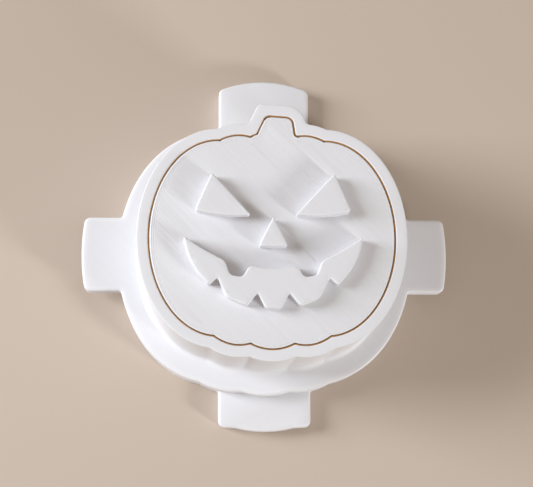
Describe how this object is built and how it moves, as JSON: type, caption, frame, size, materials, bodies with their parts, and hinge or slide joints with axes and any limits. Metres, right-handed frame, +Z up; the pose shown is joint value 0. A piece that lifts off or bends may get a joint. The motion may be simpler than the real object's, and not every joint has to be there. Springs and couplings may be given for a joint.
{
  "type": "cake pop mold",
  "caption": "Hand press for pumpkin-shaped cake pops: a face stamp on a tabbed base plate inside a sliding flanged sleeve of the same outline.",
  "frame": {"origin": "underside of the base plate, at the middle of the object's outline in plan", "axes": "+Z up through the stamp, the way the sleeve lifts; +Y from the pumpkin's bottom to its stem; +X to the right of the face"},
  "size_m": [0.0816, 0.0804, 0.0373],
  "materials": {
    "stamp_plastic": "printed white plastic, fine diagonal lines on top faces and layer lines on walls",
    "sleeve_plastic": "printed white plastic, outline lines on the rim and layer lines on walls"
  },
  "bodies": {
    "stamp": {"stamp": "stamp_plastic"},
    "sleeve": {"sleeve": "sleeve_plastic"}
  },
  "joints": [
    {"name": "sleeve_slide", "type": "slide", "parent": "stamp", "child": "sleeve", "axis": [0, 0, 1], "range_m": [0, 0.036]}
  ]
}
